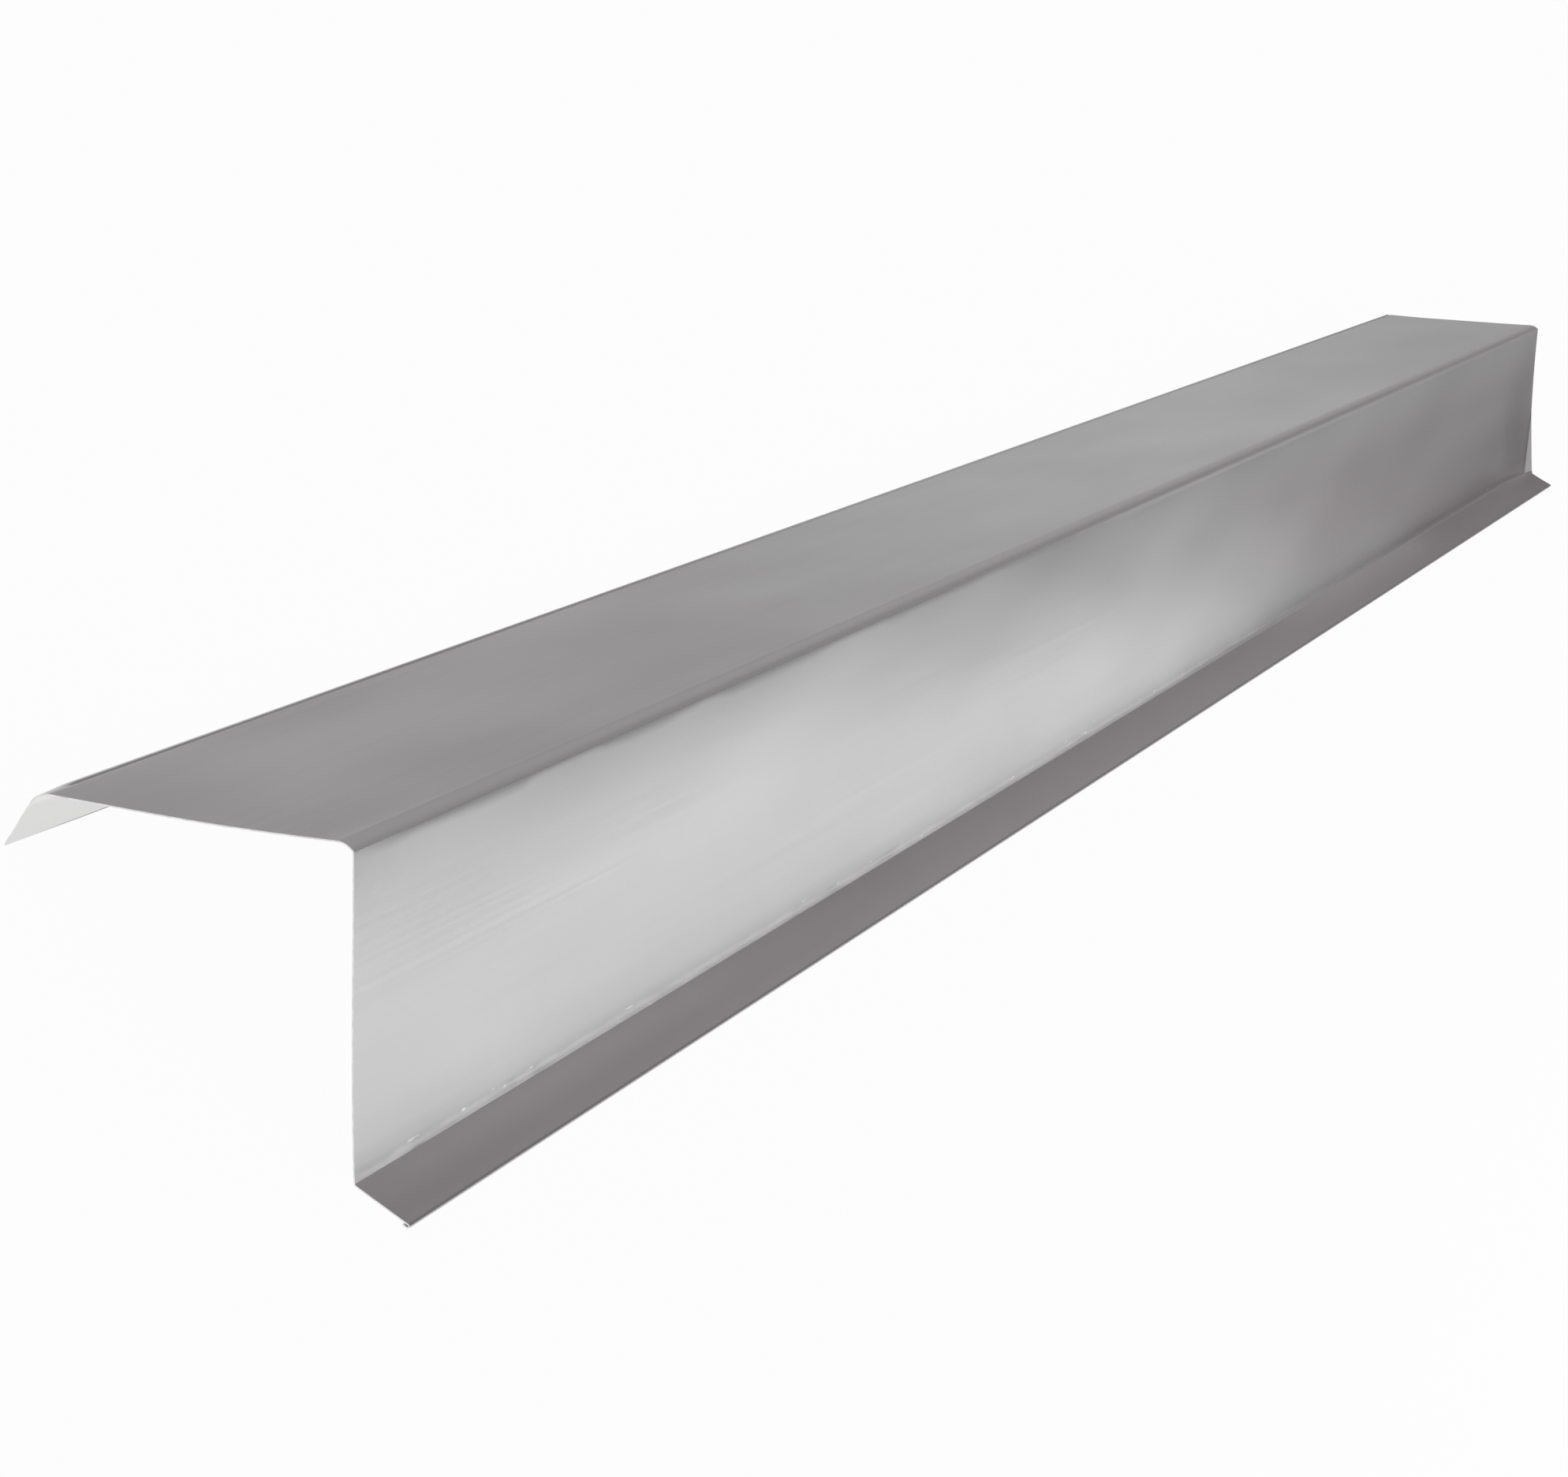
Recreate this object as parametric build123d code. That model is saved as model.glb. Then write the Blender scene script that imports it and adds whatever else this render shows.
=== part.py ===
from build123d import *
import os
from math import asin, atan2, cos, degrees, hypot, radians, sin, tan

# Eaves flashing: one strip of zinc-coated sheet steel, folded along its length on a press brake.
# Its weather face runs from the back lip over the roof flange, down the front face and out over
# the drip, whose edge is hooked back underneath. Sizes are in millimetres and degrees.

# The strip
LENGTH = 2000.0
SHEET = 0.6

# Legs of the section, measured on the weather face between sharp corners, and the drip to its nose
LIP = 28.0
FLANGE = 141.0
FRONT = 132.0
DRIP = 26.5

# The short hem under the drip's edge: from the nose to the sheet's edge, and the gap inside
HEM = 3.0
HEM_GAP = 0.8

# How far the sheet turns at each bend, the drip's the other way
LIP_TURN = 55.3
TOP_TURN = 90.0
DRIP_TURN = 64.5

# How much of the top's turn is a round shoulder, before the crisp crease that meets the front
SHOULDER_TURN = 45.0

# Inside radius of each bend
LIP_BEND = 9.6
SHOULDER_BEND = 8.8
CREASE_BEND = 0.6
DRIP_BEND = 0.9


def setback(radius, turn):
    """Length that a bend of this radius takes from each leg, up to their sharp corner."""
    return radius * tan(radians(turn) / 2)


def top_cuts(shoulder_radius, crease_radius):
    """Lengths that the shoulder and crease take from the flange and front, up to their corner."""
    shoulder = radians(SHOULDER_TURN)
    top = radians(TOP_TURN)
    across = shoulder_radius * sin(shoulder) + crease_radius * (sin(top) - sin(shoulder))
    down = shoulder_radius * (1 - cos(shoulder)) + crease_radius * (cos(shoulder) - cos(top))
    return across - down / tan(top), down / sin(top)


def weather_line():
    """The weather face's edge as seen along the strip, with the flange level and the lip behind.

    It is walked from the lip's tip to the sheet's edge in the hem, turning left at each bend but
    the drip's. The sheet lies on its left.
    """
    lip_radius = LIP_BEND + SHEET
    shoulder_radius = SHOULDER_BEND + SHEET
    crease_radius = CREASE_BEND + SHEET
    nose_radius = HEM_GAP / 2 + SHEET
    lip_cut = setback(lip_radius, LIP_TURN)
    drip_cut = setback(DRIP_BEND, DRIP_TURN)
    flange_cut, front_cut = top_cuts(shoulder_radius, crease_radius)

    flange_heading = 180
    front_heading = flange_heading + TOP_TURN
    lip = PolarLine((0, 0), LIP - lip_cut, flange_heading - LIP_TURN)
    lip_bend = JernArc(lip @ 1, lip % 1, lip_radius, LIP_TURN)
    flange = PolarLine(lip_bend @ 1, FLANGE - lip_cut - flange_cut, flange_heading)
    shoulder = JernArc(flange @ 1, flange % 1, shoulder_radius, SHOULDER_TURN)
    crease = JernArc(shoulder @ 1, shoulder % 1, crease_radius, TOP_TURN - SHOULDER_TURN)
    front = PolarLine(crease @ 1, FRONT - front_cut - drip_cut, front_heading)
    drip_bend = JernArc(front @ 1, front % 1, DRIP_BEND, -DRIP_TURN)
    drip = PolarLine(drip_bend @ 1, DRIP - drip_cut - nose_radius, front_heading - DRIP_TURN)
    nose = JernArc(drip @ 1, drip % 1, nose_radius, 180)
    hem = PolarLine(nose @ 1, HEM - nose_radius, front_heading - DRIP_TURN + 180)
    return {
        "lip": lip,
        "lip bend": lip_bend,
        "flange": flange,
        "shoulder": shoulder,
        "crease": crease,
        "front": front,
        "drip bend": drip_bend,
        "drip": drip,
        "nose": nose,
        "hem": hem,
    }


def slope_under(centre, radius, point):
    """Slope of the line through the point that just passes under a round bend."""
    reach = point - centre
    return degrees(atan2(reach.Y, reach.X) + asin(radius / hypot(reach.X, reach.Y)))


def resting_slope(line):
    """Slope of the line that the strip rests on when it is set down unheld.

    It stands on the drip's bend, or on the nose where that is lower, and leans back until the
    lower corner of the lip's tip meets the floor.
    """
    lip = line["lip"]
    inward = (lip % 0).rotate(Axis.Z, 90)
    tip_corners = (lip @ 0, lip @ 0 + inward * SHEET)
    feet = (
        (line["drip bend"].arc_center, DRIP_BEND + SHEET),
        (line["nose"].arc_center, HEM_GAP / 2 + SHEET),
    )
    return max(min(slope_under(*foot, corner) for corner in tip_corners) for foot in feet)


def flashing_strip():
    """The folded strip as it lies on a floor, along X, with the front face towards -Y."""
    line = weather_line()
    section = make_face(offset(Wire(line.values()), SHEET, side=Side.LEFT, closed=True))
    strip = extrude(Plane.YZ * Rot(0, 0, -resting_slope(line)) * section, LENGTH)
    box = strip.bounding_box()
    return Pos(-box.center().X, -box.center().Y, -box.min.Z) * strip


os.makedirs("parts", exist_ok=True)
export_step(flashing_strip(), "parts/flashing_strip.step")
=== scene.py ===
from functools import reduce
from math import atan2, cos, exp, pi, radians, sin, tan

import bpy
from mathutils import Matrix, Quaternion, Vector


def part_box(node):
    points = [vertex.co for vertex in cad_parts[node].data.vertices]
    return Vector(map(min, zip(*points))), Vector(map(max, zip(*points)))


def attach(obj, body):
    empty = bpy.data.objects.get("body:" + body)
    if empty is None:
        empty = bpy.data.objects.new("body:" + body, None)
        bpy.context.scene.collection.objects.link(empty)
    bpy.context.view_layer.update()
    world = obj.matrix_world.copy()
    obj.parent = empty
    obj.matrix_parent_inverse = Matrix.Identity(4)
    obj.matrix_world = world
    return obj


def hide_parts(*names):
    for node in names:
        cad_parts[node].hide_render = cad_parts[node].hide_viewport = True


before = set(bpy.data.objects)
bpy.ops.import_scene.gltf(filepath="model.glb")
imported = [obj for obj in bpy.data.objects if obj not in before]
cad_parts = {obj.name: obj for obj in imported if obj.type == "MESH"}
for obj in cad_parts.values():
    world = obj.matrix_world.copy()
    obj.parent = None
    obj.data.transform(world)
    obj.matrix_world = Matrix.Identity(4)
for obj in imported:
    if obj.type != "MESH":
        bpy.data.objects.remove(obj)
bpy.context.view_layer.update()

NODE = "flashing_strip"
LOW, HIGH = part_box(NODE)
NEAR_END = LOW.x
LENGTH = HIGH.x - LOW.x

# The folded section in metres and degrees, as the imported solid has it
SHEET = 0.0006
LIP = 0.028
FLANGE = 0.141
FRONT = 0.132
DRIP = 0.0265
HEM = 0.003
HEM_GAP = 0.0008
LIP_TURN = 55.3
TOP_TURN = 90.0
DRIP_TURN = 64.5
SHOULDER_TURN = 45.0
LIP_BEND = 0.0096
SHOULDER_BEND = 0.0088
CREASE_BEND = 0.0006
DRIP_BEND = 0.0009

# Spacing of the mesh across the legs, beside a bend, and on the front close above the lower fold
ACROSS_STEP = 0.0062
BEND_SIDE = 0.0007
FOLD_STEP = 0.0006
FOLD_ZONE = 0.006

# Steps round each bend, and the angle in degrees from which an edge is shaded as sharp
BEND_STEPS = {"lip_bend": 14, "shoulder": 9, "crease": 5, "drip_bend": 8, "nose": 12}
SHARP_ANGLE = 35

# Spacing of the mesh along the strip in its middle and at its ends, and the least that is kept
ALONG_STEP = 0.009
END_STEP = 0.003
END_ZONE = 0.075
NEAREST_RINGS = 0.0009

# How far each wide leg is dished inward, at the near end and further along. The flange's dish is
# deepest halfway across. The front's is below its middle, and moves up towards the far end.
FLANGE_DISH_END = 0.0011
FLANGE_DISH = 0.0005
FRONT_DISH_END = 0.0010
FRONT_DISH = 0.0007
FRONT_DISH_FAR = 0.0012
DISH_REACH = 0.45
FAR_DISH_FROM = 0.80
FAR_DISH_FULL = 1.60

# Slow waves along both wide legs: height, wavelength, phase and half waves across. Each leg
# multiplies the phases by its own number, so that the two don't move alike.
WAVES = (
    (0.00022, 0.83, 0.4, 1),
    (0.00016, 0.47, 2.1, 2),
    (0.00010, 0.29, 4.4, 1),
    (0.00007, 0.19, 1.2, 3),
)
FLANGE_PHASES = 1
FRONT_PHASES = 2

# Waves that make up an uneven line along the strip: radians per metre, how much a seed shifts
# them, and height. Then the seeds of the lines.
WANDER_WAVES = ((71, 1.0, 1.0), (163, 2.3, 0.8), (29, 4.1, 0.5))
FOLD_SEED = 0.6
FLARE_SEED = 3.9
DIE_LINE_SEED = 1.7

# The line that the folding tool pressed into the front above the lower fold
DIE_LINE_ABOVE = 0.0022
DIE_LINE_WIDTH = 0.0009
DIE_LINE_DEPTH = 0.00003

# How far the lower fold wanders outward, how soon that fades out above and below it, and over
# what length it starts at the near end
FOLD_WANDER = 0.00022
FOLD_WANDER_REACH = 0.011
FOLD_STRAIGHT_END = 0.050

# How far the front flares outward at the lower fold, and from what height
FLARE = 0.00025
FLARE_WANDER = 0.00012
FLARE_TALL = 0.0032

# How far the crowns of the shoulder and the lip's bend are flattened
BEND_EASE = 0.00002

# Outer radius of the lip's bend away from the near end, and where it is reached
LIP_BEND_FURTHER = 0.0044
LIP_BEND_REACH = 0.020

# Nicks on the front above the lower fold: place along, height above it, half length and depth. A
# nick's depth falls off with the square of the distance in nick sizes, and stops at the cutoff.
NICKS = (
    (0.045, 0.0012, 0.0050, 0.00007),
    (0.119, 0.0026, 0.0045, 0.00010),
    (0.139, 0.0021, 0.0040, 0.00008),
    (0.244, 0.0041, 0.0030, 0.00007),
    (0.290, 0.0037, 0.0045, 0.00008),
    (0.391, 0.0014, 0.0050, 0.00008),
    (0.437, 0.0018, 0.0055, 0.00011),
    (0.506, 0.0024, 0.0060, 0.00010),
    (0.796, 0.0033, 0.0080, 0.00010),
    (1.092, 0.0030, 0.0090, 0.00011),
    (1.367, 0.0034, 0.0120, 0.00013),
    (1.712, 0.0030, 0.0100, 0.00014),
)
NICK_HEIGHT = 0.0012
NICK_CUTOFF = 9

# The front's far lower corner, pushed out along the drip: gently over the front's whole height,
# and more beyond a slanting crease
CORNER_SWAY = 0.0026
CORNER_SWAY_WIDE = 0.110
CORNER_TALL = 0.055
CORNER_WIDE = 0.018
CORNER_PUSH = 0.0034


def smooth(value):
    """Eases 0 to 1 without a corner at either end."""
    t = min(max(value, 0.0), 1.0)
    return t * t * (3 - 2 * t)


def arch(share):
    """0 at both edges of a leg and 1 halfway."""
    return 4 * share * (1 - share)


def setback(radius, turn):
    """Length that a bend of this radius takes from each leg, up to their sharp corner."""
    return radius * tan(radians(turn) / 2)


def even_shares(length):
    """Even steps along a leg, with one short step at each end."""
    side = BEND_SIDE / length
    count = max(2, round(length / ACROSS_STEP))
    return [0.0] + [side + (1 - 2 * side) * n / count for n in range(count + 1)] + [1.0]


def front_shares(length):
    """Even steps down the front, then fine ones close above the lower fold."""
    coarse = 1 - FOLD_ZONE / length
    fine = round(FOLD_ZONE / FOLD_STEP)
    upper = [share * coarse for share in even_shares(length - FOLD_ZONE)]
    return upper + [coarse + (1 - coarse) * n / fine for n in range(1, fine + 1)]


def top_cuts(shoulder_radius, crease_radius):
    """Lengths that the shoulder and crease take from the flange and front."""
    shoulder = radians(SHOULDER_TURN)
    top = radians(TOP_TURN)
    across = shoulder_radius * sin(shoulder) + crease_radius * (sin(top) - sin(shoulder))
    down = shoulder_radius * (1 - cos(shoulder)) + crease_radius * (cos(shoulder) - cos(top))
    return across - down / tan(top), down / sin(top)


LIP_CUT = setback(LIP_BEND + SHEET, LIP_TURN)
FLANGE_CUT, FRONT_CUT = top_cuts(SHOULDER_BEND + SHEET, CREASE_BEND + SHEET)
DRIP_CUT = setback(DRIP_BEND, DRIP_TURN)
NOSE_RADIUS = HEM_GAP / 2 + SHEET
FRONT_FLAT = FRONT - FRONT_CUT - DRIP_CUT
DRIP_FLAT = DRIP - DRIP_CUT - NOSE_RADIUS


def walk_section():
    """Points of the weather line from the lip's tip to the hem's edge, with the flange level.

    Each is (place, outward normal, leg, share of that leg), in the plane across the strip.
    """
    place = Vector((0.0, 0.0))
    heading = 180 - LIP_TURN
    points = []

    def outward():
        return Vector((sin(radians(heading)), -cos(radians(heading))))

    def leg(name, length, shares):
        nonlocal place
        along = Vector((cos(radians(heading)), sin(radians(heading))))
        for share in shares:
            points.append((place + along * length * share, outward(), name, share))
        place = place + along * length

    def bend(name, radius, turn):
        """Adds the bend's points up to the next leg's or bend's first one."""
        nonlocal place, heading
        steps = BEND_STEPS[name]
        side = 1 if turn > 0 else -1
        centre = place - outward() * radius * side
        if points[-1][2] == "shoulder":
            points.append((place, outward(), name, 0.0))
        for n in range(1, steps):
            heading += turn / steps
            points.append((centre + outward() * radius * side, outward(), name, n / steps))
        heading += turn / steps
        place = centre + outward() * radius * side

    flange_flat = FLANGE - LIP_CUT - FLANGE_CUT
    leg("lip", LIP - LIP_CUT, even_shares(LIP))
    bend("lip_bend", LIP_BEND + SHEET, LIP_TURN)
    leg("flange", flange_flat, even_shares(flange_flat))
    bend("shoulder", SHOULDER_BEND + SHEET, SHOULDER_TURN)
    bend("crease", CREASE_BEND + SHEET, TOP_TURN - SHOULDER_TURN)
    leg("front", FRONT_FLAT, front_shares(FRONT_FLAT))
    bend("drip_bend", DRIP_BEND, -DRIP_TURN)
    leg("drip", DRIP_FLAT, even_shares(DRIP_FLAT))
    bend("nose", NOSE_RADIUS, 180)
    leg("hem", HEM - NOSE_RADIUS, even_shares(HEM))
    return points


def resting_slope():
    """The flange's slope towards the back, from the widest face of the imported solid."""
    widest = max(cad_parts[NODE].data.polygons, key=lambda face: face.area)
    return atan2(abs(widest.normal.y), abs(widest.normal.z))


def laid_section():
    """The section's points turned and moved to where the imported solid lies."""
    slope = resting_slope()

    def turned(v):
        return Vector((v.x * cos(slope) + v.y * sin(slope), v.y * cos(slope) - v.x * sin(slope)))

    points = [(turned(p), turned(n), name, share) for p, n, name, share in walk_section()]
    inner = [p - n * SHEET for p, n, name, share in points]
    both = [p for p, n, name, share in points] + inner
    shift = Vector((LOW.y - min(p.x for p in both), LOW.z - min(p.y for p in both)))
    return [(p + shift, n, name, share) for p, n, name, share in points]


def stations():
    """Distances along the strip at which it has a ring of points, closer at its ends and nicks."""
    middle = round((LENGTH - 2 * END_ZONE) / ALONG_STEP)
    end = round(END_ZONE / END_STEP)
    near = [END_ZONE * n / end for n in range(end)]
    between = [END_ZONE + (LENGTH - 2 * END_ZONE) * n / middle for n in range(middle + 1)]
    far = [LENGTH - d for d in reversed(near)]
    at_nicks = [nick[0] + nick[2] * n / 2 for nick in NICKS for n in range(-3, 4)]
    rings = []
    for along in sorted(near + between + far + at_nicks):
        if not rings or along - rings[-1] >= NEAREST_RINGS or along == LENGTH:
            rings.append(along)
    return rings


def wander(along, seed):
    """An uneven wave between 0 and 1 along the strip."""
    total = sum(h * sin(along * rate + shift * seed) for rate, shift, h in WANDER_WAVES)
    return 0.5 + total / (2 * sum(h for rate, shift, h in WANDER_WAVES))


def fold_wander(along):
    """How far outward the lower fold wanders at a place along the strip."""
    return FOLD_WANDER * wander(along, FOLD_SEED) * smooth(along / FOLD_STRAIGHT_END)


def flare(along, above):
    """How far outward the front flares at a height above the lower fold."""
    rise = FLARE + FLARE_WANDER * (wander(along, FLARE_SEED) - 0.5)
    return rise * max(0.0, 1 - above / FLARE_TALL) ** 2 * smooth(along / FOLD_STRAIGHT_END)


def fold_shift(along):
    """How far outward the lower fold lies in all."""
    return fold_wander(along) + flare(along, 0.0)


def dish(along, at_end, further):
    """Depth of a leg's dish, which eases from the near end's to that further along."""
    return further + (at_end - further) * smooth(1 - along / DISH_REACH)


def corner_push(along, name, share):
    """How far the sheet is pushed out along the drip at the front's far lower corner."""
    if name not in ("front", "drip_bend", "drip"):
        return 0.0
    above = (1 - share) * FRONT_FLAT if name == "front" else 0.0
    sway = (1 - above / FRONT_FLAT) * smooth(1 - (LENGTH - along) / CORNER_SWAY_WIDE)
    beyond = max(0.0, 1 - above / CORNER_TALL - (LENGTH - along) / CORNER_WIDE)
    left = 1 - share if name == "drip" else 1.0
    return (CORNER_SWAY * sway + CORNER_PUSH * beyond) * left


def lip_bend_rise(along, share):
    """Rise of the lip's bend where it is crisper than at the near end."""
    wide = LIP_BEND + SHEET
    crisp = wide + (LIP_BEND_FURTHER - wide) * smooth(along / LIP_BEND_REACH)
    half = radians(LIP_TURN) / 2
    angle = abs(share - 0.5) * 2 * half
    centre = (wide - crisp) / cos(half)
    flat = wide / cos(half - angle)
    if centre * sin(angle) >= crisp:
        return flat - wide
    curve = centre * cos(angle) + (crisp ** 2 - (centre * sin(angle)) ** 2) ** 0.5
    return min(flat, curve) - wide


def front_marks(along, above):
    """The pressed line and nicks close above the lower fold."""
    line = exp(-((above - DIE_LINE_ABOVE) / DIE_LINE_WIDTH) ** 2)
    total = -DIE_LINE_DEPTH * line * wander(along, DIE_LINE_SEED)
    for place, height, half, depth in NICKS:
        away = ((along - place) / half) ** 2 + ((above - height) / NICK_HEIGHT) ** 2
        if away < NICK_CUTOFF:
            total -= depth * exp(-away)
    return total


def waves(along, share, phases):
    """Height of the slow waves on a wide leg, with their phases multiplied."""
    return sum(h * sin(2 * pi * along / w + phases * p) * sin(pi * k * share) for h, w, p, k in WAVES)


def front_relief(along, share):
    """The front's waves, dish, marks and the lower fold's wander close above it."""
    above = (1 - share) * FRONT_FLAT
    far = smooth((along - FAR_DISH_FROM) / (FAR_DISH_FULL - FAR_DISH_FROM))
    hollow = (1 - far) * dish(along, FRONT_DISH_END, FRONT_DISH) * arch(share * share)
    hollow += far * FRONT_DISH_FAR * arch(share)
    near_fold = fold_wander(along) * (1 - smooth(above / FOLD_WANDER_REACH))
    marks = front_marks(along, above) + flare(along, above)
    return waves(along, share, FRONT_PHASES) - hollow + near_fold + marks


def relief(along, name, share):
    """How far the sheet stands out from its ideal face at a place."""
    if name == "flange":
        hollow = dish(along, FLANGE_DISH_END, FLANGE_DISH) * arch(share)
        return waves(along, share, FLANGE_PHASES) - hollow
    if name == "front":
        return front_relief(along, share)
    if name == "drip_bend":
        return fold_shift(along)
    if name == "drip":
        return fold_shift(along) * (1 - smooth(share * DRIP_FLAT / FOLD_WANDER_REACH))
    if name == "shoulder":
        return -BEND_EASE * sin(pi * share)
    if name == "lip_bend":
        return lip_bend_rise(along, share) - BEND_EASE * sin(pi * share)
    return 0.0


def build_strip():
    """One mesh of the sheet with its faults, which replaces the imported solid."""
    section = laid_section()
    rings = stations()
    count = len(section)
    drip = [p for p, n, name, share in section if name == "drip"]
    drip_way = (drip[-1] - drip[0]).normalized()
    verts = []
    for along in rings:
        reliefs = [relief(along, name, share) for p, n, name, share in section]
        pushes = [corner_push(along, name, share) for p, n, name, share in section]
        for depth in (0.0, SHEET):
            for (p, n, name, share), rise, push in zip(section, reliefs, pushes):
                face = p + n * (rise - depth) + drip_way * push
                verts.append((NEAR_END + along, face.x, face.y))
    weather_faces = []
    inner_faces = []
    edge_faces = []
    ring = 2 * count
    last = count - 1
    for r in range(len(rings) - 1):
        a, b = r * ring, (r + 1) * ring
        for i in range(last):
            weather_faces.append((a + i, b + i, b + i + 1, a + i + 1))
            inner_faces.append((a + count + i, a + count + i + 1, b + count + i + 1, b + count + i))
        edge_faces.append((a, a + count, b + count, b))
        edge_faces.append((a + last, b + last, b + count + last, a + count + last))
    far = (len(rings) - 1) * ring
    for i in range(last):
        edge_faces.append((i, i + 1, count + i + 1, count + i))
        edge_faces.append((far + i, far + count + i, far + count + i + 1, far + i + 1))
    mesh = bpy.data.meshes.new("flashing_sheet")
    mesh.from_pydata(verts, [], weather_faces + inner_faces + edge_faces)
    mesh.materials.append(zinc_material("zinc_coated_sheet", ZINC, ZINC_DULL, wear_and_painted_light))
    mesh.materials.append(zinc_material("zinc_inner_side", INNER_ZINC_PAINTED_PALE, INNER_ZINC_PAINTED_PALE_DULL, inner_tone_and_painted_light))
    mesh.materials.append(cut_edge_material())
    first_inner = len(weather_faces)
    first_edge = first_inner + len(inner_faces)
    for polygon in mesh.polygons[first_inner:first_edge]:
        polygon.material_index = 1
    for polygon in mesh.polygons[first_edge:]:
        polygon.material_index = 2
    mesh.shade_smooth()
    mesh.set_sharp_from_angle(angle=radians(SHARP_ANGLE))
    strip = bpy.data.objects.new("flashing_sheet", mesh)
    bpy.context.scene.collection.objects.link(strip)
    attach(strip, "root")
    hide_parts(NODE)


# The weather side's coating, and the inner side's, made paler as painted light for the bright reflection
# in the lip's inner face
ZINC = (0.520, 0.520, 0.520, 1)
ZINC_DULL = (0.505, 0.505, 0.505, 1)
INNER_ZINC_PAINTED_PALE = (0.740, 0.740, 0.735, 1)
INNER_ZINC_PAINTED_PALE_DULL = (0.710, 0.710, 0.710, 1)

# The share of dull tone in the coatings' clouds and mottle, and the span of the noise it takes
CLOUDS_DULL = (0.45, 0.72, 0.0, 0.6)
MOTTLE_DULL = (0.45, 0.75, 0.0, 0.3)

# The coatings' roughness, and how far haze and grain move it up and down
ROUGHNESS = 0.33
HAZE_ROUGHNESS = 0.008
GRAIN_ROUGHNESS = 0.012

# The sheet's shorn edge: its tones, and its least and greatest roughness
CUT_STEEL = (0.860, 0.860, 0.850, 1)
CUT_STEEL_DULL = (0.760, 0.760, 0.755, 1)
CUT_SMOOTH = 0.38
CUT_ROUGH = 0.52

# Noises: stretch along and across the strip, scale and detail. Their values are used over one of
# the two spans.
WIDE_SPAN = (0.3, 0.7)
NARROW_SPAN = (0.35, 0.65)
TONE_CLOUDS = ((1.0, 1.9, 1.9), 4.5, 2.0)
MOTTLE = ((1.0, 1.0, 1.0), 85.0, 3.0)
GRAIN = ((3.0, 900.0, 900.0), 1.0, 2.0)
HAZE = ((1.0, 2.2, 2.2), 6.0, 2.0)
PEEL = ((1.0, 1.0, 1.0), 240.0, 2.0)
SHEAR = ((900.0, 260.0, 260.0), 1.0, 3.0)
MARK_CLOUDS = ((1.0, 2.4, 2.4), 4.1, 1.5)
RIPPLE = ((15.0, 3.0, 3.0), 1.0, 2.0)
RAGGED = ((55.0, 160.0, 160.0), 1.0, 3.0)
GLINT_SPECKS = ((90.0, 420.0, 420.0), 1.0, 2.0)

# Bumps: strength and height
GRAIN_BUMP = (0.35, 0.00002)
PEEL_BUMP = (0.3, 0.00008)
SHEAR_BUMP = (0.4, 0.00005)

# A mark keeps to its limits. Each is a measure, where the mark is full and where it has faded out,
# and its share at both where that isn't 1 and 0. The measures are distances in metres up from the
# lower fold ("above"), back from the top corner ("inward"), from the near end ("along"), past the
# drip's nose and from the lip's tip, and the noises and sums that the weather side's tone function makes.
ON_FLANGE = ("above", 0.1312, 0.1290)
ON_FRONT = ("above", 0.1262, 0.1286)
OVER_FOLD = ("above", -0.0001, -0.0007)
UNDER_FOLD = ("above", -0.0007, -0.0001)
CLOSE_UNDER = ("above", -0.0010, -0.0100)

# Painted shade over the flange's near part, less its back corner at the near end, and the roughness it
# adds there
FLANGE_PAINTED_SHADE = (0.395, 0.376, 0.381, 1)
FLANGE_SHADE_ROUGHER = 0.04
FLANGE_SHADE_PART = (ON_FLANGE, ("along", 0.10, 0.95), ("clouds", 0.60, 0.35, 1.0, 0.75))
BACK_CORNER = (("inward", 0.1370, 0.1345), ("along", 0.15, 0.30))

# The shoulder and crease: painted light that softens their dark reflected band, and a rougher haze there
BEND_PAINTED_LIGHT = (0.605, 0.601, 0.602, 1)
BENT_ROUGHER = 0.14
BENT_PART = (("inward", 0.0045, 0.0095), ("above", 0.1280, 0.1245))

# The other marks on the weather side, from the lowest up: tone and limits. Most are painted light and
# shade; the drip's tint is its own colour.
DRIP_PAINTED_LIGHT = (0.680, 0.662, 0.667, 1)
EARLY_MARKS = (
    # Painted shade: the flange darker at its near end and in its far part
    ((0.330, 0.312, 0.317, 1), ("inward", 0.020, 0.004), ("inward", 0.1320, 0.1370), ("along", 0.0, 0.10)),
    ((0.450, 0.452, 0.450, 1), ON_FLANGE, ("along", 1.80, 1.35, 0.8, 0.0)),
    # The drip's own tint, and painted light on two lengths of it close under the fold
    ((0.524, 0.509, 0.514, 1), UNDER_FOLD),
    (DRIP_PAINTED_LIGHT, UNDER_FOLD, CLOSE_UNDER, ("along", 0.12, 0.50)),
    (DRIP_PAINTED_LIGHT, UNDER_FOLD, CLOSE_UNDER, ("along", 1.35, 1.10), ("along", 1.55, 1.80)),
    # Painted shade with a warm tint over the front's far part, and painted shade in a patch low in it
    ((0.500, 0.474, 0.482, 1), ON_FRONT, ("cloudy slant", 1.85, 1.45)),
    ((0.385, 0.362, 0.369, 1), ("above", 0.014, 0.003), ("above", 0.038, 0.075), ("along", 1.85, 1.55)),
)
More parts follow.
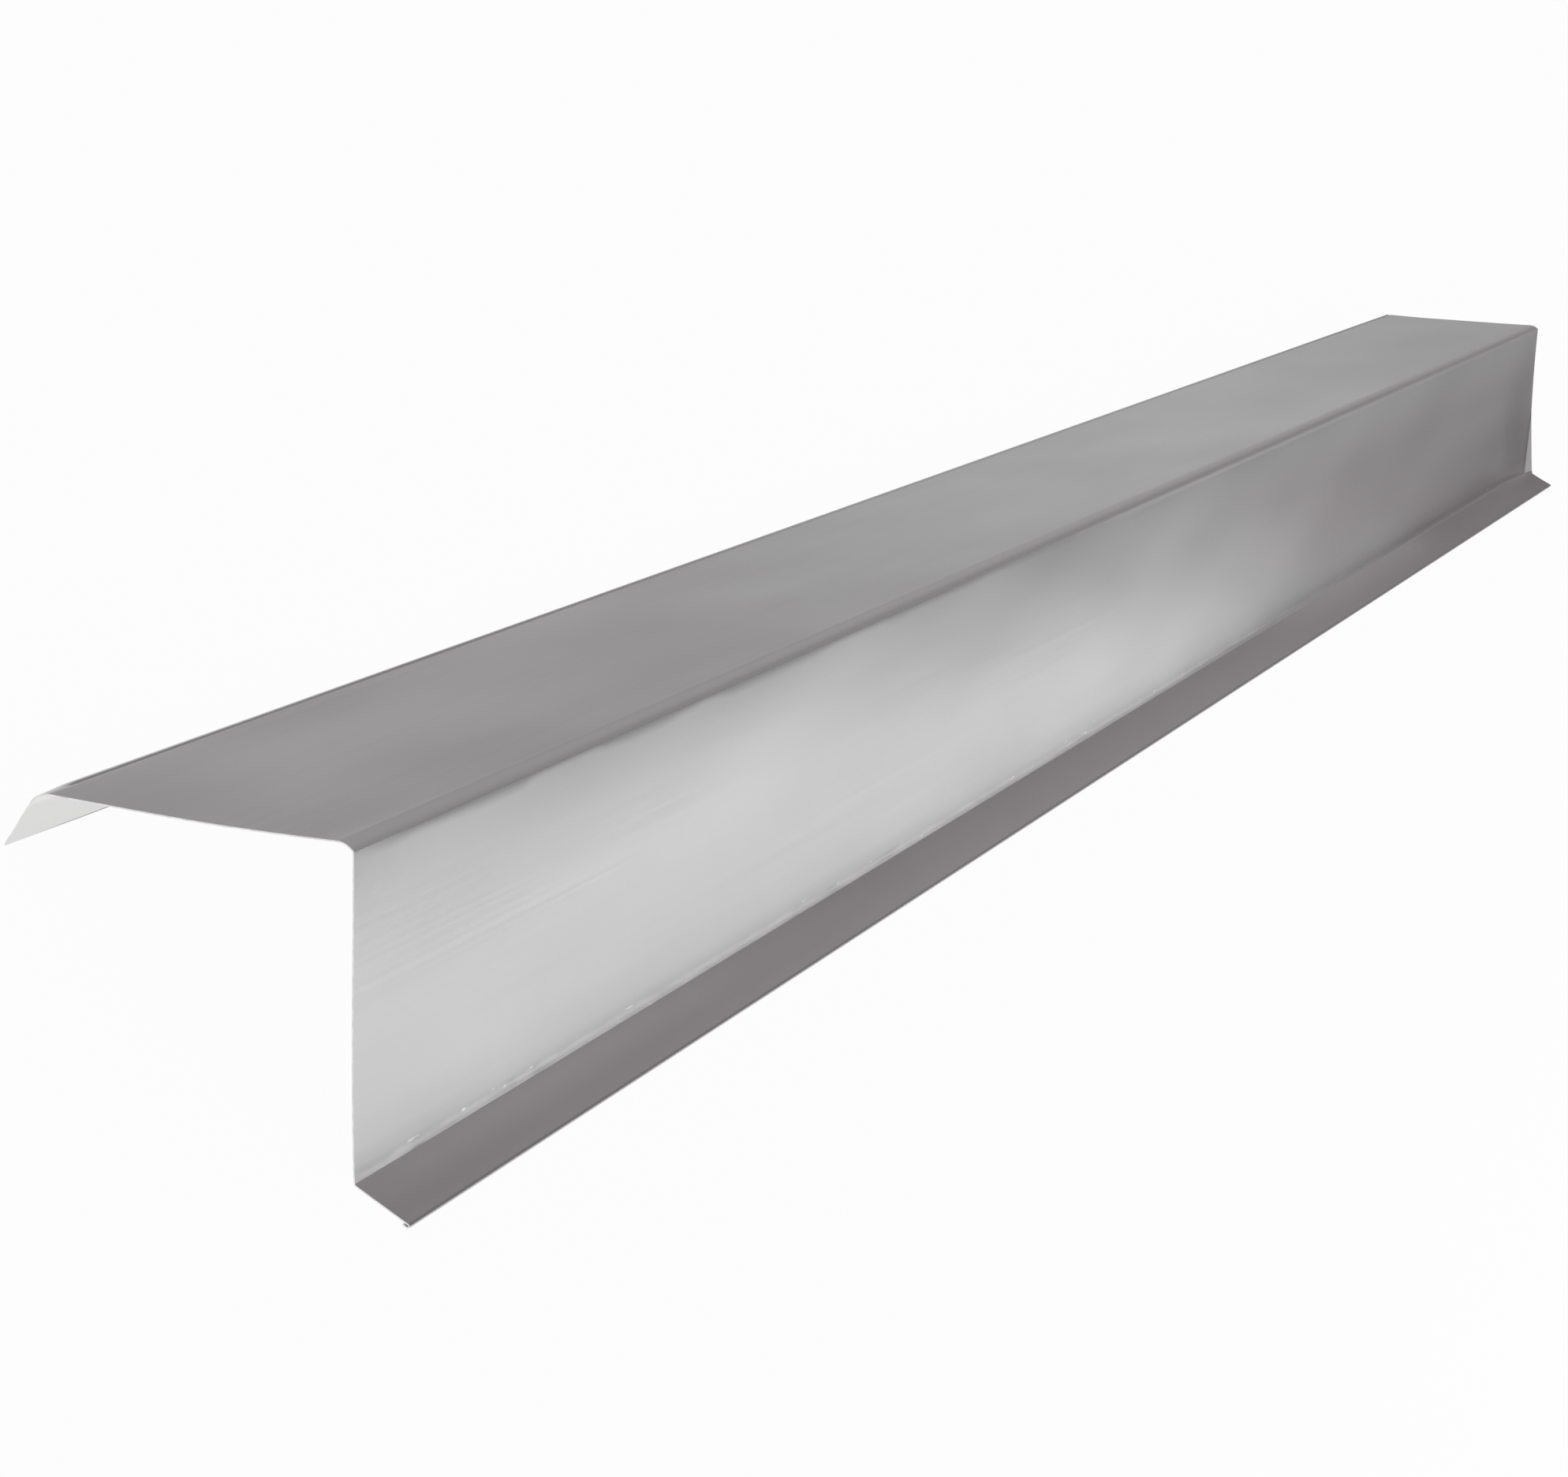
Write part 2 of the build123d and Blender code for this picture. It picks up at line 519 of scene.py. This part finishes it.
LATE_MARKS = (
    # Painted light on the upper front, then painted shade in a patch there and in a band beside the crease
    ((0.610, 0.610, 0.608, 1), ON_FRONT, ("above", 0.122, 0.080), ("along", 1.10, 0.55, 1.0, 0.10)),
    ((0.435, 0.435, 0.435, 1), ON_FRONT, ("above", 0.090, 0.030),
     ("slant", 1.00, 0.70), ("slant", 1.12, 1.42)),
    ((0.360, 0.360, 0.360, 1), ("wavering", 0.1275, 0.1232), ("above", 0.1277, 0.1285),
     ("along", 0.06, -0.02), ("along", 0.45, 0.95)),
    # A painted light line along the lower fold, a painted highlight on the pushed-out far corner and
    # painted glints as small specks
    ((0.670, 0.672, 0.670, 1), OVER_FOLD, ("ragged", 0.0010, 0.0045), ("along", 1.30, 1.75)),
    ((0.950, 0.950, 0.945, 1), OVER_FOLD, ("beyond corner", 0.06, 0.0)),
    ((0.880, 0.885, 0.880, 1), OVER_FOLD, ("ragged", 0.003, 0.006), ("scuffs", 0.73, 0.67)),
    # Painted shade on the hem's nose
    ((0.440, 0.431, 0.433, 1), ("past drip", 0.0002, -0.0010)),
)

# What the height above the lower fold counts in the two slanting measures, and how far noise
# shifts the uneven ones
CLOUDY_RISE = 6.0
CLOUDY_SHIFT = 0.2
SLANT_RISE = 4.0
WAVERING_SHIFT = 0.0011
RAGGED_SHIFT = 0.0006

# The inner side painted paler still in the lip's bend, and a painted contact shadow as a dark line along
# the lip's tip at the near end
INNER_BEND_PAINTED_LIGHT = (0.880, 0.880, 0.875, 1)
INNER_BEND_PART = (("above tip", 0.0235, 0.0195), ("inward", 0.120, 0.108))
LIP_TIP_PAINTED_SHADOW = (0.330, 0.325, 0.325, 1)
LIP_TIP_SHADOW_PART = (("above tip", 0.0003, 0.0010), ("inward", 0.140, 0.135), ("along", 0.045, 0.015))


def node(tree, kind, **settings):
    made = tree.nodes.new(kind)
    for name, value in settings.items():
        setattr(made, name, value)
    return made


def noise(tree, place, stretch, scale, detail):
    mapping = node(tree, "ShaderNodeMapping")
    mapping.inputs["Scale"].default_value = stretch
    tree.links.new(place, mapping.inputs["Vector"])
    made = node(tree, "ShaderNodeTexNoise")
    made.inputs["Scale"].default_value = scale
    made.inputs["Detail"].default_value = detail
    tree.links.new(mapping.outputs["Vector"], made.inputs["Vector"])
    return made.outputs["Fac"]


def spread(tree, value, low, high, to_low, to_high):
    """Maps a span of a value to another span, held at its ends."""
    made = node(tree, "ShaderNodeMapRange", interpolation_type="SMOOTHSTEP")
    for name, number in (("From Min", low), ("From Max", high), ("To Min", to_low), ("To Max", to_high)):
        made.inputs[name].default_value = number
    tree.links.new(value, made.inputs["Value"])
    return made.outputs["Result"]


def swing(tree, value, span, size):
    """Moves by a size down and up as a value goes through its span."""
    return spread(tree, value, *span, -size, size)


def blend_colour(tree, share, a, b):
    made = node(tree, "ShaderNodeMix", data_type="RGBA")
    tree.links.new(share, made.inputs["Factor"])
    for socket, colour in ((made.inputs[6], a), (made.inputs[7], b)):
        if isinstance(colour, tuple):
            socket.default_value = colour
        else:
            tree.links.new(colour, socket)
    return made.outputs[2]


def added(tree, a, b):
    made = node(tree, "ShaderNodeMath", operation="ADD")
    tree.links.new(a, made.inputs[0])
    tree.links.new(b, made.inputs[1])
    return made.outputs[0]


def scaled(tree, value, factor, plus=0.0):
    made = node(tree, "ShaderNodeMath", operation="MULTIPLY_ADD")
    made.inputs[1].default_value = factor
    made.inputs[2].default_value = plus
    tree.links.new(value, made.inputs[0])
    return made.outputs[0]


def multiplied(tree, a, b):
    made = node(tree, "ShaderNodeMath", operation="MULTIPLY")
    tree.links.new(a, made.inputs[0])
    tree.links.new(b, made.inputs[1])
    return made.outputs[0]


def reach(tree, place, start, way):
    """Distance from a point along a direction."""
    made = node(tree, "ShaderNodeVectorMath", operation="DOT_PRODUCT")
    made.inputs[1].default_value = way
    tree.links.new(place, made.inputs[0])
    return scaled(tree, made.outputs["Value"], 1.0, -Vector(start).dot(way))


def leg_ends(name):
    """The first and last place of a leg of the section."""
    places = [Vector((0.0, p.x, p.y)) for p, n, leg, share in laid_section() if leg == name]
    return places[0], places[-1]


def patch(tree, measures, limits):
    """The mask that a mark's limits leave, as their product."""
    masks = []
    for name, full, gone, *shares in limits:
        most, least = shares or (1.0, 0.0)
        (low, at_low), (high, at_high) = sorted(((full, most), (gone, least)))
        masks.append(spread(tree, measures[name], low, high, at_low, at_high))
    return reduce(lambda a, b: multiplied(tree, a, b), masks)


def laid_over(tree, measures, tone, marks):
    """The tone with marks laid over it, one after the other."""
    for colour, *limits in marks:
        tone = blend_colour(tree, patch(tree, measures, limits), tone, colour)
    return tone


def wear_and_painted_light(tree, place, tone):
    """Tone of the weather side with painted light and shade over its bends, flange, front, drip and hem,
    and its added roughness.
    """
    top, fold = leg_ends("front")
    start, nose = leg_ends("drip")
    back, brow = leg_ends("flange")
    above = reach(tree, place, fold, (top - fold).normalized())
    along = reach(tree, place, (NEAR_END, 0.0, 0.0), (1.0, 0.0, 0.0))
    clouds = noise(tree, place, *MARK_CLOUDS)
    cloudy = swing(tree, clouds, WIDE_SPAN, CLOUDY_SHIFT)
    wavering = swing(tree, noise(tree, place, *RIPPLE), NARROW_SPAN, WAVERING_SHIFT)
    ragged = swing(tree, noise(tree, place, *RAGGED), WIDE_SPAN, RAGGED_SHIFT)
    measures = {
        "above": above,
        "inward": reach(tree, place, top, (back - brow).normalized()),
        "along": along,
        "past drip": reach(tree, place, nose, (nose - start).normalized()),
        "clouds": clouds,
        "scuffs": noise(tree, place, *GLINT_SPECKS),
        "slant": added(tree, along, scaled(tree, above, SLANT_RISE)),
        "cloudy slant": added(tree, added(tree, along, scaled(tree, above, CLOUDY_RISE)), cloudy),
        "wavering": added(tree, above, wavering),
        "ragged": added(tree, above, ragged),
        "beyond corner": added(
            tree,
            scaled(tree, above, -1 / CORNER_TALL),
            scaled(tree, along, 1 / CORNER_WIDE, 1 - LENGTH / CORNER_WIDE),
        ),
    }

    # Painted shade over the flange's near part, kept off its back corner at the near end
    off_corner = scaled(tree, patch(tree, measures, BACK_CORNER), -1.0, 1.0)
    flange_shade = multiplied(tree, patch(tree, measures, FLANGE_SHADE_PART), off_corner)
    tone = blend_colour(tree, flange_shade, tone, FLANGE_PAINTED_SHADE)
    # Painted shade and light on the flange, the drip and the far front, and the drip's own tint
    tone = laid_over(tree, measures, tone, EARLY_MARKS)
    # Painted light over the shoulder and crease, which also get rougher
    bent = patch(tree, measures, BENT_PART)
    tone = blend_colour(tree, bent, tone, BEND_PAINTED_LIGHT)
    # Painted light and shade on the front, the lower fold, the far corner and the hem's nose
    tone = laid_over(tree, measures, tone, LATE_MARKS)
    rougher = added(tree, scaled(tree, bent, BENT_ROUGHER), scaled(tree, flange_shade, FLANGE_SHADE_ROUGHER))
    return tone, rougher


def inner_tone_and_painted_light(tree, place, tone):
    """Tone of the inner side, painted paler in the lip's bend and with a painted contact shadow along the
    lip's tip.
    """
    tip, root = leg_ends("lip")
    back, brow = leg_ends("flange")
    measures = {
        "above tip": reach(tree, place, tip, (root - tip).normalized()),
        "inward": reach(tree, place, brow, (back - brow).normalized()),
        "along": reach(tree, place, (NEAR_END, 0.0, 0.0), (1.0, 0.0, 0.0)),
    }
    # Painted light: the inner side paler in the lip's bend
    bend = patch(tree, measures, INNER_BEND_PART)
    tone = blend_colour(tree, bend, tone, INNER_BEND_PAINTED_LIGHT)
    # Painted contact shadow along the lip's tip at the near end
    tone = blend_colour(tree, patch(tree, measures, LIP_TIP_SHADOW_PART), tone, LIP_TIP_PAINTED_SHADOW)
    return tone, scaled(tree, bend, BENT_ROUGHER)


def bumped(tree, value, strength, height, under=None):
    """Normal of a bump, laid over another one where that is given."""
    made = node(tree, "ShaderNodeBump")
    made.inputs["Strength"].default_value = strength
    made.inputs["Distance"].default_value = height
    tree.links.new(value, made.inputs["Height"])
    if under is not None:
        tree.links.new(under, made.inputs["Normal"])
    return made.outputs["Normal"]


def metal(name):
    """A new metal, as its material, tree, shader and the coordinates of the piece."""
    material = bpy.data.materials.new(name)
    material.use_nodes = True
    tree = material.node_tree
    shader = tree.nodes["Principled BSDF"]
    shader.inputs["Metallic"].default_value = 1.0
    return material, tree, shader, node(tree, "ShaderNodeTexCoord").outputs["Object"]


def zinc_material(name, clear, dull, marks):
    """A zinc coating with soft clouds of tone, a fine mottle, grain along the strip, and the marks and
    painted light and shade that a tone function adds.
    """
    material, tree, shader, place = metal(name)
    clouds = noise(tree, place, *TONE_CLOUDS)
    mottle = noise(tree, place, *MOTTLE)
    tone = blend_colour(tree, spread(tree, clouds, *CLOUDS_DULL), clear, dull)
    tone = blend_colour(tree, spread(tree, mottle, *MOTTLE_DULL), tone, dull)
    tone, rougher = marks(tree, place, tone)

    grain = noise(tree, place, *GRAIN)
    haze = swing(tree, noise(tree, place, *HAZE), NARROW_SPAN, HAZE_ROUGHNESS)
    uneven = added(tree, haze, swing(tree, grain, WIDE_SPAN, GRAIN_ROUGHNESS))
    rough = added(tree, scaled(tree, uneven, 1.0, ROUGHNESS), rougher)

    fine = bumped(tree, grain, *GRAIN_BUMP)
    normal = bumped(tree, noise(tree, place, *PEEL), *PEEL_BUMP, fine)
    tree.links.new(tone, shader.inputs["Base Color"])
    tree.links.new(rough, shader.inputs["Roughness"])
    tree.links.new(normal, shader.inputs["Normal"])
    return material


def cut_edge_material():
    """The shorn edge of the sheet, where the steel shows between smeared zinc."""
    material, tree, shader, place = metal("cut_steel_edge")
    shear = noise(tree, place, *SHEAR)
    tone = blend_colour(tree, spread(tree, shear, *NARROW_SPAN, 0.0, 1.0), CUT_STEEL, CUT_STEEL_DULL)
    rough = spread(tree, shear, *WIDE_SPAN, CUT_SMOOTH, CUT_ROUGH)
    tree.links.new(tone, shader.inputs["Base Color"])
    tree.links.new(rough, shader.inputs["Roughness"])
    tree.links.new(bumped(tree, shear, *SHEAR_BUMP), shader.inputs["Normal"])
    return material


# The floor's half width, its paint, and the share of plain white in what it shows to the camera
# and to the metal
FLOOR_HALF = 40
FLOOR_PAINT = (0.9, 0.9, 0.9, 1)
FLOOR_GLOW = (1, 1, 1, 1)
FLOOR_GLOW_SHARE = 0.96


def make_floor():
    """A plain floor that shows as white and still takes the strip's shadow."""
    corners = [(x * FLOOR_HALF, y * FLOOR_HALF, 0) for x, y in ((-1, -1), (1, -1), (1, 1), (-1, 1))]
    mesh = bpy.data.meshes.new("floor")
    mesh.from_pydata(corners, [], [(0, 1, 2, 3)])
    floor = bpy.data.objects.new("floor", mesh)
    bpy.context.scene.collection.objects.link(floor)
    material = bpy.data.materials.new("floor")
    material.use_nodes = True
    tree = material.node_tree
    tree.nodes.clear()
    paint = node(tree, "ShaderNodeBsdfDiffuse")
    paint.inputs["Color"].default_value = FLOOR_PAINT
    glow = node(tree, "ShaderNodeEmission")
    glow.inputs["Color"].default_value = FLOOR_GLOW
    glow.inputs["Strength"].default_value = 1.0
    ray = node(tree, "ShaderNodeLightPath")
    seen = ray.outputs["Is Camera Ray"]
    for kind in ("Is Glossy Ray", "Is Transmission Ray"):
        either = node(tree, "ShaderNodeMath", operation="MAXIMUM")
        tree.links.new(seen, either.inputs[0])
        tree.links.new(ray.outputs[kind], either.inputs[1])
        seen = either.outputs[0]
    mixed = node(tree, "ShaderNodeMixShader")
    tree.links.new(scaled(tree, seen, FLOOR_GLOW_SHARE), mixed.inputs[0])
    tree.links.new(paint.outputs[0], mixed.inputs[1])
    tree.links.new(glow.outputs[0], mixed.inputs[2])
    output = node(tree, "ShaderNodeOutputMaterial")
    tree.links.new(mixed.outputs[0], output.inputs["Surface"])
    floor.data.materials.append(material)


# The camera looks along the strip from its near end, at the photograph's angle
CAMERA_PLACE = Vector((-1.97203, -0.32159, 0.72350))
CAMERA_HEADING = 12.224
CAMERA_FALL = 25.180
CAMERA_ROLL = 36.868
CAMERA_LENS = 74.913
CAMERA_SENSOR = 36
CAMERA_CLIP = (0.05, 200)


def make_camera():
    data = bpy.data.cameras.new("camera")
    data.sensor_width = CAMERA_SENSOR
    data.lens = CAMERA_LENS
    data.clip_start, data.clip_end = CAMERA_CLIP
    camera = bpy.data.objects.new("camera", data)
    bpy.context.scene.collection.objects.link(camera)
    heading, fall = radians(CAMERA_HEADING), radians(CAMERA_FALL)
    forward = Vector((cos(heading) * cos(fall), sin(heading) * cos(fall), -sin(fall)))
    camera.location = CAMERA_PLACE
    camera.rotation_mode = "QUATERNION"
    roll = Quaternion((0, 0, 1), radians(CAMERA_ROLL))
    camera.rotation_quaternion = forward.to_track_quat("-Z", "Y") @ roll
    bpy.context.scene.camera = camera


# The room's plain light, and the dim cone ahead of the camera: heading, rise, inner and outer angle
ROOM_LIGHT = 0.62
ROOM_TINT = (1.018, 0.985, 0.995, 1)
AHEAD_LIGHT = 0.01
AHEAD = (-8, 12, 40, 60)

# Soft lights in that cone and beside it: heading, rise, inner and outer angle, strength
SOFT_LIGHTS = (
    (-2, 5, 2, 12, 0.435),
    (-12, 20, 5, 18, 0.52),
    (22, 20, 5, 18, 0.55),
    (18, 5, 2, 12, 0.17),
    (-12, 5, 2, 12, 0.042),
    (28, 5, 2, 12, 0.135),
    (-29, 12, 2, 8, 0.39),
    (10, 38, 8, 24, 0.04),
    (35, 38, 8, 24, 0.12),
    (-5, 54, 8, 24, 0.36),
    (-54, 26, 8, 24, 0.35),
)


def bearing(heading, rise):
    """Direction at a heading from +X towards +Y and a rise above the horizon, in degrees."""
    flat = cos(radians(rise))
    return (flat * cos(radians(heading)), flat * sin(radians(heading)), sin(radians(rise)))


def inside_cone(tree, direction, heading, rise, inner, outer):
    """1 within the inner angle of a direction, easing to 0 at the outer one."""
    cosine = node(tree, "ShaderNodeVectorMath", operation="DOT_PRODUCT")
    cosine.inputs[1].default_value = bearing(heading, rise)
    tree.links.new(direction, cosine.inputs[0])
    return spread(tree, cosine.outputs["Value"], cos(radians(outer)), cos(radians(inner)), 0.0, 1.0)


def make_world():
    """The room's light, soft all round, which the metal mirrors."""
    world = bpy.data.worlds.new("studio")
    bpy.context.scene.world = world
    world.use_nodes = True
    tree = world.node_tree
    direction = node(tree, "ShaderNodeTexCoord").outputs["Generated"]
    total = scaled(tree, inside_cone(tree, direction, *AHEAD), AHEAD_LIGHT - ROOM_LIGHT, ROOM_LIGHT)
    for heading, rise, inner, outer, strength in SOFT_LIGHTS:
        cone = inside_cone(tree, direction, heading, rise, inner, outer)
        total = added(tree, total, scaled(tree, cone, strength))
    background = tree.nodes["Background"]
    background.inputs["Color"].default_value = ROOM_TINT
    tree.links.new(total, background.inputs["Strength"])


# A long soft lamp low in front of the strip
LAMP_PLACE = Vector((0.5, -0.7, 0.09))
LAMP_TARGET = Vector((0.5, 0.0, 0.09))
LAMP_WIDTH = 2.3
LAMP_HEIGHT = 0.18
LAMP_RADIANCE = 1.555


def make_lamp():
    data = bpy.data.lights.new("front_strip_box", "AREA")
    data.shape = "RECTANGLE"
    data.size = LAMP_WIDTH
    data.size_y = LAMP_HEIGHT
    data.energy = LAMP_RADIANCE * pi * LAMP_WIDTH * LAMP_HEIGHT
    lamp = bpy.data.objects.new("front_strip_box", data)
    bpy.context.scene.collection.objects.link(lamp)
    lamp.location = LAMP_PLACE
    lamp.rotation_mode = "QUATERNION"
    lamp.rotation_quaternion = (LAMP_TARGET - LAMP_PLACE).to_track_quat("-Z", "Y")
    lamp.visible_camera = False


build_strip()
make_floor()
make_world()
make_lamp()
make_camera()
bpy.context.scene.view_settings.view_transform = "Standard"
